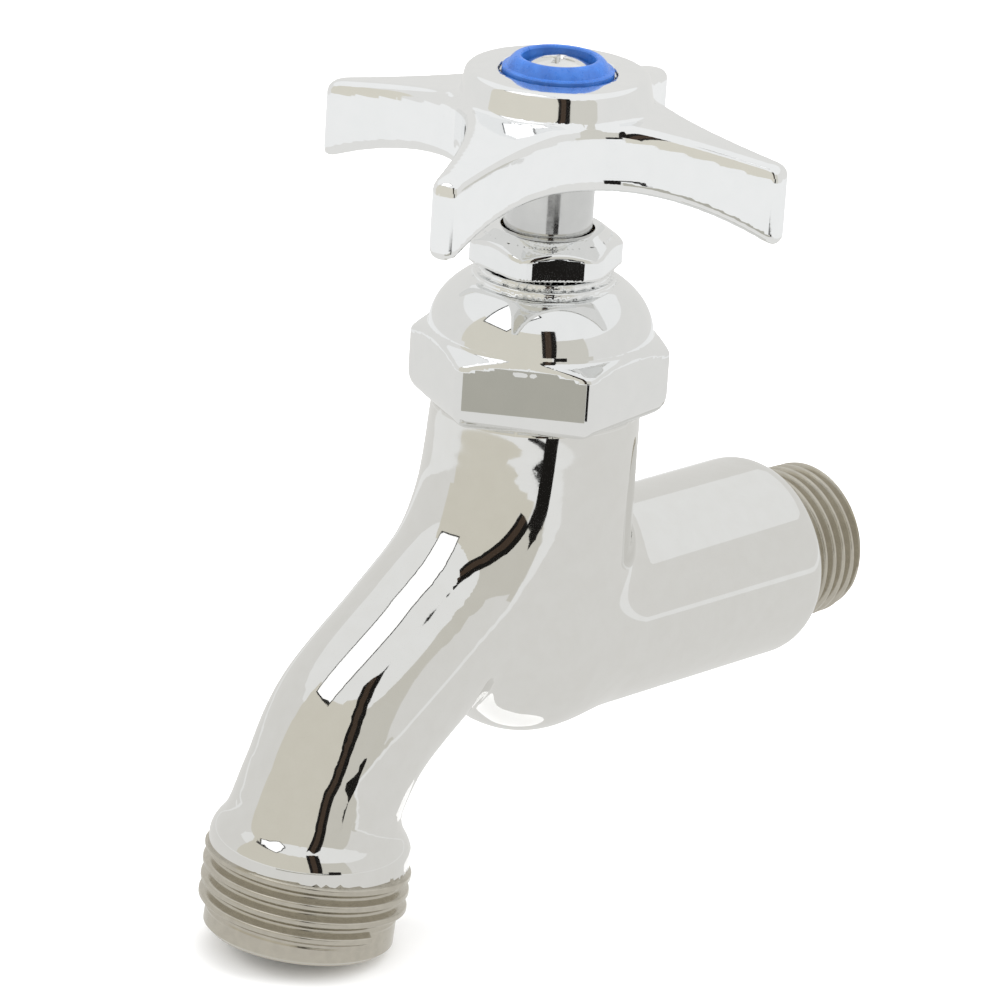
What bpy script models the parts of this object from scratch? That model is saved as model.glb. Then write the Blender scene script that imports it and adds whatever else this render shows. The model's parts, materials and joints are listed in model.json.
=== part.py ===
"""Hose bib: a wall faucet with a four-arm handle, a hexagon bonnet and a hose-thread spout.

Metres, +Z up. The origin is the centre of the inlet's end face. The inlet points along +Y, towards
the wall, and the spout leans towards -Y. The valve is modelled closed. Heights named *_H are
measured from the plane where the bonnet meets the body.
"""

from math import cos, pi, radians, sin, sqrt

import bmesh
import bpy
import numpy as np
from mathutils import Matrix, Vector

MM = 0.001
GAP = 0.3 * MM

# Reach and heights of the casting
STEM_Y = -55.7 * MM
JOINT_Z = 30.4 * MM
NECK_R = 13.6 * MM
BARREL_R = 13.65 * MM
BARREL_END_Y = -9.6 * MM
SHOULDER_R = 4.4 * MM
CREASE_BLEND = 3.0 * MM
SPOUT_BLEND = 5.0 * MM
BODY_CELL = 3.0 * MM
SPOUT_REACH = 56.0 * MM
SPOUT_DROP = 72.0 * MM
NECK_SPARE = 6.0 * MM

# Threads: 1/2 inch tapered pipe inlet, 3/4 inch garden hose outlet
INLET_MAJOR_R = 10.65 * MM
INLET_END_R = 10.35 * MM
INLET_CHAMFER = 0.8 * MM
HOSE_MAJOR_R = 13.45 * MM
HOSE_RIM_R = 12.1 * MM
HOSE_COLLAR_R = 12.9 * MM
HOSE_COLLAR_DROP = 3.2 * MM
HOSE_LENGTH = 15.8 * MM
HOSE_PLAIN = 4.6 * MM
OUTLET_TILT = radians(6.5)

# Spout from inside the neck to the outlet collar, in mm: forward of the stem, above the joint, radius
SPOUT_PATH = (
    (-2.6, -7.3, 10.0),
    (-4.6, -15.0, 11.1),
    (-11.3, -23.0, 11.1),
    (-19.2, -29.2, 10.9),
    (-29.5, -37.4, 10.9),
    (-34.2, -45.2, 10.7),
    (-35.7, -49.5, 11.1),
)

# Waterway
INLET_BORE_R = 7.0 * MM
CHAMBER_R = 10.0 * MM
CHAMBER_FLOOR_H = -17.5 * MM
SEAT_HOLE_R = 6.3 * MM
SPOUT_BORE_R = 6.2 * MM
OUTLET_BORE_R = 8.2 * MM

# Bonnet
HEX_FLAT_R = 14.9 * MM
HEX_CORNER_R = 16.95 * MM
HEX_LOW_H = 2.6 * MM
HEX_HIGH_H = 10.0 * MM
HEX_TURN = radians(-50.0)
DOME_BASE_R = 14.6 * MM
DOME_BASE_H = 10.3 * MM
DOME_RISE = 9.5 * MM
DOME_TOP_R = 9.6 * MM
BONNET_NECK_R = 7.75 * MM
BONNET_TOP_H = 22.3 * MM
BONNET_WELL_R = 8.9 * MM
BONNET_WELL_TOP_H = -2.2 * MM
STUB_R = 11.3 * MM
STUB_H = -9.5 * MM
PACKING_BORE_R = 6.95 * MM
PACKING_FLOOR_H = 16.0 * MM
THREAD_BORE_R = 6.75 * MM
THREAD_BORE_TOP_H = 14.6 * MM

# Spindle and handle
STEM_R = 5.75 * MM
SPINDLE_THREAD_R = 6.4 * MM
SPINDLE_FOOT_H = -8.6 * MM
SQUARE_HALF = 3.8 * MM
SQUARE_BASE_H = 36.0 * MM
SPINDLE_TOP_H = 42.2 * MM
HANDLE_TURN = radians(-69.9)
ARM_REACH = 32.1 * MM
ARM_HALF_TIP = 1.8 * MM
ARM_TIP_TOP_H = 38.0 * MM
ARM_TIP_LOW_H = 27.4 * MM
ARM_ROOT_TOP_H = 41.2 * MM
ARM_ROOT_LOW_H = 32.5 * MM
WAIST_R = 13.1 * MM
HUB_TOP_R = 11.75 * MM
HUB_BASE_R = 12.5 * MM
HUB_TOP_H = 45.0 * MM
HUB_BOSS_R = 8.6 * MM
HUB_BOSS_H = 31.2 * MM
RING_POCKET_R = 7.6 * MM
RING_POCKET_H = 43.4 * MM
RING_R = 7.2 * MM
RING_TOP_H = 46.8 * MM
RING_HOLE_R = 4.75 * MM

# Seat, washer and its holder, with the valve closed
SEAT_BORE_R = 4.5 * MM
SEAT_LOW_H = -22.6 * MM
SEAT_FLANGE_R = 7.6 * MM
SEAT_FLANGE_H = -16.4 * MM
SEAT_LIP_H = -14.6 * MM
WASHER_R = 6.5 * MM
WASHER_LOW_H = -14.3 * MM
WASHER_TOP_H = -11.6 * MM
HOLDER_R = 7.8 * MM
HOLDER_LOW_H = -13.0 * MM
HOLDER_TOP_H = -8.9 * MM
PIN_R = 2.2 * MM
PIN_TOP_H = -3.4 * MM
GROOVE_R = 1.7 * MM
GROOVE_LOW_H = -6.8 * MM
GROOVE_HIGH_H = -5.6 * MM
WASHER_SCREW_R = 1.3 * MM

# Fasteners of the handle
SCREW_R = 1.95 * MM
SCREW_HOLE_R = 2.4 * MM
SCREW_HEAD_R = 4.4 * MM
SCREW_TOP_H = 46.65 * MM
SCREW_LOW_H = 35.0 * MM

# Packing nut
NUT_FLAT_R = 8.75 * MM
NUT_CORNER_R = 9.95 * MM
NUT_LOW_H = 19.4 * MM
NUT_TOP_H = 24.4 * MM
NUT_TURN = radians(-22.0)

CHROME = (0.86, 0.87, 0.88, 1.0)
BRASS = (0.72, 0.56, 0.30, 1.0)
RUBBER = (0.03, 0.03, 0.03, 1.0)
PACKING = (0.20, 0.20, 0.21, 1.0)
FIBRE = (0.45, 0.18, 0.12, 1.0)
BLUE = (0.06, 0.24, 0.72, 1.0)
SEGMENTS = 40
SMALL_SEGMENTS = 20


def clear_scene():
    for obj in list(bpy.data.objects):
        bpy.data.objects.remove(obj, do_unlink=True)


def material(name, colour, roughness, metallic):
    """A Principled material, made once for each name."""
    found = bpy.data.materials.get(name)
    if found:
        return found
    made = bpy.data.materials.new(name)
    made.use_nodes = True
    shader = made.node_tree.nodes["Principled BSDF"]
    shader.inputs["Base Color"].default_value = colour
    shader.inputs["Roughness"].default_value = roughness
    shader.inputs["Metallic"].default_value = metallic
    return made


def object_from(bm, name, finish=None):
    """A scene object holding this bmesh, shaded smooth with sharp edges kept."""
    bmesh.ops.recalc_face_normals(bm, faces=bm.faces)
    mesh = bpy.data.meshes.new(name)
    bm.to_mesh(mesh)
    bm.free()
    mesh.shade_smooth()
    mesh.set_sharp_from_angle(angle=radians(32.0))
    if finish:
        mesh.materials.append(finish)
    obj = bpy.data.objects.new(name, mesh)
    bpy.context.scene.collection.objects.link(obj)
    return obj


def settle_modifiers(obj):
    """Replaces the object's mesh by its evaluated one."""
    bpy.context.view_layer.update()
    graph = bpy.context.evaluated_depsgraph_get()
    result = bpy.data.meshes.new_from_object(obj.evaluated_get(graph))
    obj.modifiers.clear()
    obj.data = result
    return obj


def combine(obj, other, operation):
    """Applies an exact Boolean with another object and removes that object."""
    cut = obj.modifiers.new(operation.lower(), "BOOLEAN")
    cut.object = other
    cut.operation = operation
    cut.solver = "EXACT"
    settle_modifiers(obj)
    bpy.data.objects.remove(other, do_unlink=True)
    return obj


def turned(name, profile, segments=SEGMENTS, finish=None):
    """A closed solid turned about Z from a closed outline of (radius, height) points."""
    bm = bmesh.new()
    rings = []
    for radius, height in profile:
        if radius < 1e-7:
            rings.append([bm.verts.new((0.0, 0.0, height))])
            continue
        angles = [2.0 * pi * step / segments for step in range(segments)]
        rings.append([bm.verts.new((radius * cos(a), radius * sin(a), height)) for a in angles])
    for lower, upper in zip(rings, rings[1:] + rings[:1]):
        for step in range(segments):
            after = (step + 1) % segments
            corners = [lower[step % len(lower)], lower[after % len(lower)]]
            corners += [upper[after % len(upper)], upper[step % len(upper)]]
            distinct = list(dict.fromkeys(corners))
            if len(distinct) > 2:
                bm.faces.new(distinct)
    return object_from(bm, name, finish)


def prism(name, outline, low, high):
    """A closed upright prism over an outline of (x, y) points."""
    bm = bmesh.new()
    bottom = [bm.verts.new((x, y, low)) for x, y in outline]
    top = [bm.verts.new((x, y, high)) for x, y in outline]
    bm.faces.new(bottom[::-1])
    bm.faces.new(top)
    for step in range(len(outline)):
        after = (step + 1) % len(outline)
        bm.faces.new((bottom[step], bottom[after], top[after], top[step]))
    return object_from(bm, name)


def hexagon(flat_r, turn):
    """Corners of a hexagon with one flat facing the given direction."""
    corner_r = flat_r / cos(pi / 6.0)
    angles = [turn + pi / 6.0 + step * pi / 3.0 for step in range(6)]
    return [(corner_r * cos(a), corner_r * sin(a)) for a in angles]


def move(obj, matrix):
    """Moves the mesh itself, so that the object keeps its place at the origin."""
    obj.data.transform(matrix)
    return obj


def place_on_stem(obj):
    """Puts a piece drawn about Z, with heights from the joint, on the stem's axis."""
    obj.location = (0.0, STEM_Y, JOINT_Z)
    return obj


def arc(centre, radius, start, end, steps):
    """Points along an arc in an outline of (radius, height) points. Angles are in degrees."""
    angles = [radians(start + (end - start) * step / steps) for step in range(steps + 1)]
    return [(centre[0] + radius * cos(a), centre[1] + radius * sin(a)) for a in angles]


# Body: the casting's outside is one field of distances, so that its forms flow into each other


def spout_balls(steps):
    """Centres and radii of balls along the spout, on a smooth curve through SPOUT_PATH."""
    knots = np.array(SPOUT_PATH) * MM
    ends = np.vstack([2.0 * knots[0] - knots[1], knots, 2.0 * knots[-1] - knots[-2]])
    rows = []
    for k in range(1, len(knots)):
        a, b, c, d = ends[k - 1 : k + 3]
        for t in np.linspace(0.0, 1.0, steps, endpoint=False):
            bend = (2.0 * a - 5.0 * b + 4.0 * c - d) * t + (3.0 * (b - c) + d - a) * t * t
            rows.append(b + 0.5 * t * (c - a + bend))
    rows.append(knots[-1])
    rows = np.array(rows)
    centres = np.column_stack([np.zeros(len(rows)), STEM_Y + rows[:, 0], JOINT_Z + rows[:, 1]])
    return centres, rows[:, 2]


def blend(first, second, width):
    """Smooth union of two distance fields, with a fillet of about this width."""
    near = np.maximum(width - np.abs(first - second), 0.0) / width
    return np.minimum(first, second) - near * near * width / 4.0


def spout_distance(points):
    """Distance to the tube that the row of balls describes."""
    centres, radii = spout_balls(6)
    nearest = np.full(len(points), 1.0)
    for start, end, r0, r1 in zip(centres, centres[1:], radii, radii[1:]):
        along = end - start
        share = np.clip((points - start) @ along / (along @ along), 0.0, 1.0)
        gap = np.linalg.norm(points - start - share[:, None] * along, axis=1)
        nearest = np.minimum(nearest, gap - r0 - share * (r1 - r0))
    return nearest


def barrel_distance(points):
    """Distance to the horizontal barrel: a round nose in front, a rounded shoulder at the wall side."""
    across = np.hypot(points[:, 0], points[:, 2])
    along = points[:, 1] - STEM_Y
    nose = np.hypot(across, np.minimum(along, 0.0)) - BARREL_R
    out = across - (BARREL_R - SHOULDER_R)
    back = points[:, 1] - (BARREL_END_Y - SHOULDER_R)
    outside = np.hypot(np.maximum(out, 0.0), np.maximum(back, 0.0))
    shoulder = outside + np.minimum(np.maximum(out, back), 0.0) - SHOULDER_R
    return np.maximum(nose, shoulder)


def neck_distance(points):
    """Distance to the upright neck, which ends in a ball at the barrel's axis."""
    across = np.hypot(points[:, 0], points[:, 1] - STEM_Y)
    return np.hypot(across, np.minimum(points[:, 2], 0.0)) - NECK_R


def casting_distance(points):
    """Distance to the outside of the whole casting, without its threads."""
    upright = blend(neck_distance(points), spout_distance(points), SPOUT_BLEND)
    return blend(upright, barrel_distance(points), CREASE_BLEND)


def field_grid():
    """Grid axes, grid points and the field on them, closed off above the neck's rim."""
    reach = NECK_R + 2.0 * BODY_CELL
    low = np.array([-reach, STEM_Y - SPOUT_REACH, JOINT_Z - SPOUT_DROP])
    high = np.array([reach, 2.0 * BODY_CELL, JOINT_Z + NECK_SPARE + 2.0 * BODY_CELL])
    counts = np.ceil((high - low) / BODY_CELL).astype(int) + 1
    axes = [low[k] + BODY_CELL * np.arange(counts[k]) for k in range(3)]
    grid = np.stack(np.meshgrid(*axes, indexing="ij"), axis=-1)
    field = casting_distance(grid.reshape(-1, 3)).reshape(counts)
    field = np.where(grid[..., 2] > axes[2][-3], BODY_CELL, field)
    return grid, field


def crossings_along(k, grid, field):
    """Grid edges along axis k that the surface crosses: their index and the crossing point."""
    first = [slice(None)] * 3
    second = [slice(None)] * 3
    first[k] = slice(0, -1)
    second[k] = slice(1, None)
    start = field[tuple(first)]
    end = field[tuple(second)]
    crossed = (start < 0.0) != (end < 0.0)
    share = np.where(crossed, start / np.where(crossed, start - end, 1.0), 0.0)
    spots = grid[tuple(first)].copy()
    spots[..., k] += share * BODY_CELL
    return [(index, spots[tuple(index)]) for index in np.argwhere(crossed)]


def cells_round(index, k):
    """The four grid cells that share the edge which starts at this index along axis k."""
    u, v = [axis for axis in range(3) if axis != k]
    cells = []
    for du, dv in ((0, 0), (-1, 0), (-1, -1), (0, -1)):
        cell = index.copy()
        cell[u] += du
        cell[v] += dv
        cells.append(tuple(cell))
    return cells


def casting_mesh():
    """One vertex in each grid cell that the surface crosses, and the quads that join them."""
    grid, field = field_grid()
    spots_in = {}
    quads = []
    for k in range(3):
        for index, spot in crossings_along(k, grid, field):
            cells = cells_round(index, k)
            quads.append(cells)
            for cell in cells:
                spots_in.setdefault(cell, []).append(spot)
    places = np.array([np.mean(spots, axis=0) for spots in spots_in.values()])
    numbers = {cell: number for number, cell in enumerate(spots_in)}
    return settle_on_casting(places), [[numbers[cell] for cell in cells] for cells in quads]


def settle_on_casting(places):
    """Slides points along the field's slope until they lie on the surface."""
    step = 0.05 * MM
    low_z = places[:, 2].max() - 2.0 * BODY_CELL
    free = places[:, 2] < low_z
    for _ in range(3):
        distance = casting_distance(places)
        slope = np.empty_like(places)
        for k in range(3):
            shifted = places.copy()
            shifted[:, k] += step
            slope[:, k] = (casting_distance(shifted) - distance) / step
        pull = distance / np.maximum((slope * slope).sum(axis=1), 0.2)
        places = places - slope * (pull * free)[:, None]
    return places


def casting():
    places, quads = casting_mesh()
    bm = bmesh.new()
    verts = [bm.verts.new(place) for place in places]
    for quad in quads:
        bm.faces.new([verts[number] for number in quad])
    bmesh.ops.triangulate(bm, faces=bm.faces)
    return object_from(bm, "faucet_body")


def outlet_frame():
    """The matrix that stands a piece drawn about Z, growing downwards, on the spout's end."""
    centres, _ = spout_balls(2)
    start = Vector(centres[-1])
    return Matrix.Translation(start) @ Matrix.Rotation(-OUTLET_TILT, 4, "X")


def hose_end():
    """Collar and hose thread, with the thread's crests as its outside."""
    low = -HOSE_LENGTH
    thread_top = -HOSE_PLAIN
    spout_r = SPOUT_PATH[-1][2] * MM
    profile = [(0.0, 2.0 * MM), (spout_r - 0.8 * MM, 2.0 * MM)]
    for step in range(6):
        flare = (1.0 - cos(pi * step / 5.0)) / 2.0
        radius = spout_r - 0.2 * MM + (HOSE_COLLAR_R - spout_r + 0.2 * MM) * flare
        profile.append((radius, -HOSE_COLLAR_DROP * step / 5.0))
    profile += [(HOSE_COLLAR_R, thread_top), (HOSE_MAJOR_R, thread_top - 0.7 * MM)]
    profile += [(HOSE_MAJOR_R, low + 2.0 * MM), (HOSE_RIM_R, low), (0.0, low)]
    return move(turned("hose_end", profile, 40), outlet_frame())


def inlet_end():
    """Tapered pipe thread, with the thread's crests as its outside."""
    profile = [(0.0, 0.0), (INLET_END_R - INLET_CHAMFER, 0.0), (INLET_END_R, -INLET_CHAMFER)]
    profile += [(INLET_MAJOR_R, BARREL_END_Y - 0.5 * MM), (0.0, BARREL_END_Y - 3.0 * MM)]
    return move(turned("inlet_end", profile), Matrix.Rotation(-pi / 2.0, 4, "X"))


def spout_bore():
    """The passage from the valve chamber down the spout, wider towards the outlet."""
    centres, _ = spout_balls(3)
    centres = [Vector(c) for c in centres[4:]]
    down = outlet_frame().to_3x3() @ Vector((0.0, 0.0, -1.0))
    centres += [centres[-1] + down * (HOSE_LENGTH + 3.0 * MM)]
    bm = bmesh.new()
    rings = []
    for n, centre in enumerate(centres):
        ahead = centres[min(n + 1, len(centres) - 1)] - centres[max(n - 1, 0)]
        side = Vector((1.0, 0.0, 0.0))
        up = ahead.normalized().cross(side)
        share = max(0.0, n / (len(centres) - 2) - 0.35) / 0.65
        radius = SPOUT_BORE_R + min(share, 1.0) * (OUTLET_BORE_R - SPOUT_BORE_R)
        angles = [2.0 * pi * step / SMALL_SEGMENTS for step in range(SMALL_SEGMENTS)]
        rings.append([bm.verts.new(centre + radius * (cos(a) * side + sin(a) * up)) for a in angles])
    for lower, upper in zip(rings, rings[1:]):
        for step in range(SMALL_SEGMENTS):
            after = (step + 1) % SMALL_SEGMENTS
            bm.faces.new((lower[step], lower[after], upper[after], upper[step]))
    bm.faces.new(rings[0])
    bm.faces.new(rings[-1])
    return object_from(bm, "spout_bore")


def inlet_bore():
    """The inlet's passage, with a round blind end under the valve seat."""
    end_y = STEM_Y + 2.5 * MM
    profile = [(0.0, 2.0 * MM), (INLET_BORE_R, 2.0 * MM)]
    profile += arc((0.0, end_y), INLET_BORE_R, 0.0, -90.0, 5)[:-1]
    profile += [(0.0, end_y - INLET_BORE_R)]
    return move(turned("inlet_bore", profile, SMALL_SEGMENTS), Matrix.Rotation(-pi / 2.0, 4, "X"))


def chamber():
    """The valve chamber, the gasket's recess at the rim and the hole for the seat."""
    floor = CHAMBER_FLOOR_H
    recess = -1.4 * MM
    above = 20.0 * MM
    profile = [(0.0, above), (12.9 * MM, above), (12.9 * MM, recess), (STUB_R + GAP, recess)]
    profile += [(STUB_R + GAP, STUB_H - 1.0 * MM), (CHAMBER_R, STUB_H - 2.0 * MM)]
    profile += [(CHAMBER_R, floor), (SEAT_HOLE_R, floor), (SEAT_HOLE_R, -26.0 * MM), (0.0, -26.0 * MM)]
    bore = turned("chamber", profile, SEGMENTS)
    return move(bore, Matrix.Translation((0.0, STEM_Y, JOINT_Z)))


def top_cut():
    """Removes the casting above the neck's rim."""
    square = [(-0.03, -0.03), (0.03, -0.03), (0.03, 0.03), (-0.03, 0.03)]
    block = prism("top_cut", square, -GAP, 30.0 * MM)
    return move(block, Matrix.Translation((0.0, STEM_Y, JOINT_Z)))


def faucet_body(finish):
    body = casting()
    combine(body, hose_end(), "UNION")
    combine(body, inlet_end(), "UNION")
    for cutter in (top_cut(), chamber(), inlet_bore(), spout_bore()):
        combine(body, cutter, "DIFFERENCE")
    body.data.materials.clear()
    body.data.materials.append(finish)
    return body


# Valve seat and disc


def ring_profile(inner, outer, low, high):
    return [(inner, low), (outer, low), (outer, high), (inner, high)]


def cut_slot(ring, half_width, low):
    """Opens a thin ring on one side."""
    length = 6.0 * MM
    slot = [(-half_width, 0.0), (half_width, 0.0), (half_width, length), (-half_width, length)]
    combine(ring, prism("slot", slot, low - length, low + length), "DIFFERENCE")


def finished(obj, finish):
    """Gives a cut piece its one material and puts it on the stem's axis."""
    obj.data.materials.clear()
    obj.data.materials.append(finish)
    return place_on_stem(obj)


def renewable_seat(finish):
    """Threaded seat: a tube in the deck, a flange above it and a raised lip round the hole."""
    tube_r = SEAT_HOLE_R - GAP
    bevel = 0.5 * MM
    profile = [(SEAT_BORE_R, SEAT_LOW_H), (tube_r, SEAT_LOW_H), (tube_r, SEAT_FLANGE_H)]
    profile += [(SEAT_FLANGE_R, SEAT_FLANGE_H), (SEAT_FLANGE_R, SEAT_FLANGE_H + 1.0 * MM)]
    profile += [(tube_r, SEAT_LIP_H - bevel), (tube_r - bevel, SEAT_LIP_H)]
    profile += [(SEAT_BORE_R + bevel, SEAT_LIP_H), (SEAT_BORE_R, SEAT_LIP_H - bevel)]
    return place_on_stem(turned("renewable_seat", profile, SMALL_SEGMENTS, finish))


def seat_gasket(finish):
    high = SEAT_FLANGE_H - GAP
    profile = ring_profile(SEAT_HOLE_R + 0.1 * MM, SEAT_FLANGE_R, CHAMBER_FLOOR_H + GAP, high)
    return place_on_stem(turned("seat_gasket", profile, SMALL_SEGMENTS, finish))


def seat_washer(finish):
    """Rubber disc with a rounded rim and a hole for its screw."""
    bore_r = WASHER_SCREW_R + 0.6 * MM
    rim = 0.5 * MM
    profile = [(bore_r, WASHER_LOW_H), (WASHER_R - rim, WASHER_LOW_H), (WASHER_R, WASHER_LOW_H + rim)]
    profile += [(WASHER_R, WASHER_TOP_H), (bore_r, WASHER_TOP_H)]
    return place_on_stem(turned("seat_washer", profile, SMALL_SEGMENTS, finish))


def disc_holder(finish):
    """Cup round the washer, with a grooved pin that turns freely in the spindle's foot."""
    cup_r = WASHER_R + GAP
    cup_top = WASHER_TOP_H + GAP
    tapped_r = WASHER_SCREW_R + GAP
    tapped_top = HOLDER_TOP_H - 0.7 * MM
    edge = 0.4 * MM
    profile = [(0.0, PIN_TOP_H), (PIN_R, PIN_TOP_H), (PIN_R, GROOVE_HIGH_H), (GROOVE_R, GROOVE_HIGH_H)]
    profile += [(GROOVE_R, GROOVE_LOW_H), (PIN_R, GROOVE_LOW_H), (PIN_R, HOLDER_TOP_H)]
    profile += [(HOLDER_R - edge, HOLDER_TOP_H), (HOLDER_R, HOLDER_TOP_H - edge), (HOLDER_R, HOLDER_LOW_H)]
    profile += [(cup_r, HOLDER_LOW_H), (cup_r, cup_top), (tapped_r, cup_top)]
    profile += [(tapped_r, tapped_top), (0.0, tapped_top)]
    return place_on_stem(turned("disc_holder", profile, SMALL_SEGMENTS, finish))


def holder_clip(finish):
    """Open ring in the pin's groove."""
    low = GROOVE_LOW_H + GAP
    clip = turned("holder_clip", ring_profile(GROOVE_R + GAP, 3.2 * MM, low, low + 0.6 * MM), 24)
    cut_slot(clip, 0.9 * MM, low)
    return finished(clip, finish)


def washer_screw(finish):
    """Round head under the washer, with its shank in the holder."""
    head_r = 3.3 * MM
    seat = WASHER_LOW_H - GAP
    low = seat - 1.7 * MM
    profile = [(0.0, low), (head_r - 1.1 * MM, low), (head_r, low + 0.6 * MM), (head_r, seat)]
    profile += [(WASHER_SCREW_R, seat), (WASHER_SCREW_R, HOLDER_TOP_H - 1.0 * MM)]
    profile += [(0.0, HOLDER_TOP_H - 1.0 * MM)]
    return place_on_stem(turned("washer_screw", profile, SMALL_SEGMENTS, finish))


# Bonnet, packing and packing nut


def dome_outline():
    """The dome's side, a quarter ellipse cut off where the collar begins."""
    top_angle = sqrt(1.0 - (DOME_TOP_R / DOME_BASE_R) ** 2)
    points = []
    for step in range(9):
        rise = top_angle * step / 8.0
        points.append((DOME_BASE_R * sqrt(1.0 - rise * rise), DOME_BASE_H + DOME_RISE * rise))
    return points


def bonnet(finish):
    """Hexagon, dome and threaded neck in one piece, bored for the spindle and its packing."""
    dome = dome_outline()
    dome_top = dome[-1][1]
    profile = [(BONNET_WELL_R, STUB_H), (STUB_R - 0.6 * MM, STUB_H), (STUB_R, STUB_H + 0.6 * MM)]
    profile += [(STUB_R, 0.9 * MM), (13.4 * MM, 0.9 * MM), (13.4 * MM, 9.6 * MM), (DOME_BASE_R, 9.6 * MM)]
    profile += dome
    profile += [(9.35 * MM, dome_top + 0.1 * MM), (9.35 * MM, dome_top + 0.7 * MM)]
    profile += [(8.6 * MM, dome_top + 0.9 * MM), (8.6 * MM, 18.9 * MM), (BONNET_NECK_R, 18.9 * MM)]
    profile += [(BONNET_NECK_R, BONNET_TOP_H), (PACKING_BORE_R, BONNET_TOP_H)]
    profile += [(PACKING_BORE_R, PACKING_FLOOR_H), (STEM_R + GAP, PACKING_FLOOR_H)]
    profile += [(STEM_R + GAP, THREAD_BORE_TOP_H), (THREAD_BORE_R, THREAD_BORE_TOP_H)]
    profile += [(THREAD_BORE_R, BONNET_WELL_TOP_H), (BONNET_WELL_R, BONNET_WELL_TOP_H)]
    shell = turned("bonnet", profile, 36)
    combine(shell, bonnet_hexagon(), "UNION")
    return finished(shell, finish)


def bonnet_hexagon():
    """A hexagon turned off at its corners, with its top and bottom edges rounded over."""
    edge = HEX_CORNER_R
    profile = [(7.5 * MM, 0.0), (14.2 * MM, 0.0), (15.3 * MM, 0.7 * MM), (edge, HEX_LOW_H + 0.6 * MM)]
    profile += [(edge, HEX_HIGH_H - 1.6 * MM), (15.6 * MM, HEX_HIGH_H + 0.1 * MM)]
    profile += [(14.0 * MM, 10.6 * MM), (7.5 * MM, 10.6 * MM)]
    blank = turned("hexagon", profile, 36)
    outline = hexagon(HEX_FLAT_R, HEX_TURN)
    return combine(blank, prism("flats", outline, -1.0 * MM, 12.0 * MM), "INTERSECT")


def bonnet_gasket(finish):
    profile = ring_profile(11.7 * MM, 12.6 * MM, -1.1 * MM, -GAP)
    return place_on_stem(turned("bonnet_gasket", profile, SEGMENTS, finish))


def packing_piece(name, low, high, finish):
    profile = ring_profile(STEM_R + GAP, PACKING_BORE_R - GAP, low * MM, high * MM)
    return place_on_stem(turned(name, profile, SMALL_SEGMENTS, finish))


def packing_nut(finish):
    """Hexagon nut with a turned cone on top that presses on the gland."""
    profile = [(NUT_CORNER_R, NUT_LOW_H + 0.5 * MM), (NUT_CORNER_R, 22.4 * MM), (8.6 * MM, 23.5 * MM)]
    profile += [(7.0 * MM, NUT_TOP_H), (STEM_R + GAP, NUT_TOP_H), (STEM_R + GAP, 23.5 * MM)]
    profile += [(BONNET_NECK_R + GAP, 23.5 * MM), (BONNET_NECK_R + GAP, NUT_LOW_H), (9.3 * MM, NUT_LOW_H)]
    nut = turned("packing_nut", profile, 36)
    outline = hexagon(NUT_FLAT_R, NUT_TURN)
    combine(nut, prism("nut_flats", outline, 15.0 * MM, 30.0 * MM), "INTERSECT")
    return finished(nut, finish)


# Spindle, handle and what holds it


def spindle(finish):
    """Stem with its lifting thread, a socket for the holder's pin and a square for the handle."""
    foot = SPINDLE_FOOT_H
    profile = [(0.0, -3.1 * MM), (3.5 * MM, -3.1 * MM), (3.5 * MM, -7.4 * MM), (2.5 * MM, -7.4 * MM)]
    profile += [(2.5 * MM, foot), (5.2 * MM, foot), (5.2 * MM, -4.2 * MM), (SPINDLE_THREAD_R, -3.4 * MM)]
    profile += [(SPINDLE_THREAD_R, 7.4 * MM), (STEM_R, 8.2 * MM), (STEM_R, SQUARE_BASE_H)]
    profile += [(STEM_R - 0.3 * MM, SQUARE_BASE_H + 0.01 * MM), (0.0, SQUARE_BASE_H + 0.01 * MM)]
    stem = turned("spindle", profile, 32)
    side = SQUARE_HALF
    square = [(-side, -side), (side, -side), (side, side), (-side, side)]
    drive = prism("square", square, SQUARE_BASE_H - 2.0 * MM, SPINDLE_TOP_H)
    combine(stem, move(drive, Matrix.Rotation(HANDLE_TURN, 4, "Z")), "UNION")
    tapped = [(0.0, 34.6 * MM), (2.3 * MM, 34.6 * MM), (2.3 * MM, 50.0 * MM), (0.0, 50.0 * MM)]
    combine(stem, turned("tapped_hole", tapped, 16), "DIFFERENCE")
    return finished(stem, finish)


def star_sector():
    """Outline between two neighbouring arms, as (forward, sideways) points of the first arm's frame.

    The wall is a hyperbola: it runs along each arm and turns round at the waist halfway between.
    """
    waist = WAIST_R / sqrt(2.0)
    shift = (waist * waist - ARM_REACH * ARM_HALF_TIP) / (ARM_REACH + ARM_HALF_TIP - 2.0 * waist)
    product = (waist + shift) ** 2
    forwards = []
    for step in range(9):
        share = step / 8.0
        forwards.append(ARM_REACH + (waist - ARM_REACH) * (1.0 - (1.0 - share) ** 1.6))
    half = [(s, product / (s + shift) - shift) for s in forwards]
    return [(ARM_REACH, 0.0)] + half + [(w, s) for s, w in half[-2::-1]]


def arm_top(reach):
    start = HUB_BASE_R
    slope = (ARM_TIP_TOP_H - ARM_ROOT_TOP_H) / (ARM_REACH - start)
    return ARM_ROOT_TOP_H + slope * (max(reach, start) - start)


def arm_underside(reach):
    start = WAIST_R / sqrt(2.0)
    share = max(reach - start, 0.0) / (ARM_REACH - start)
    return ARM_ROOT_LOW_H + (ARM_TIP_LOW_H - ARM_ROOT_LOW_H) * share * share


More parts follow.
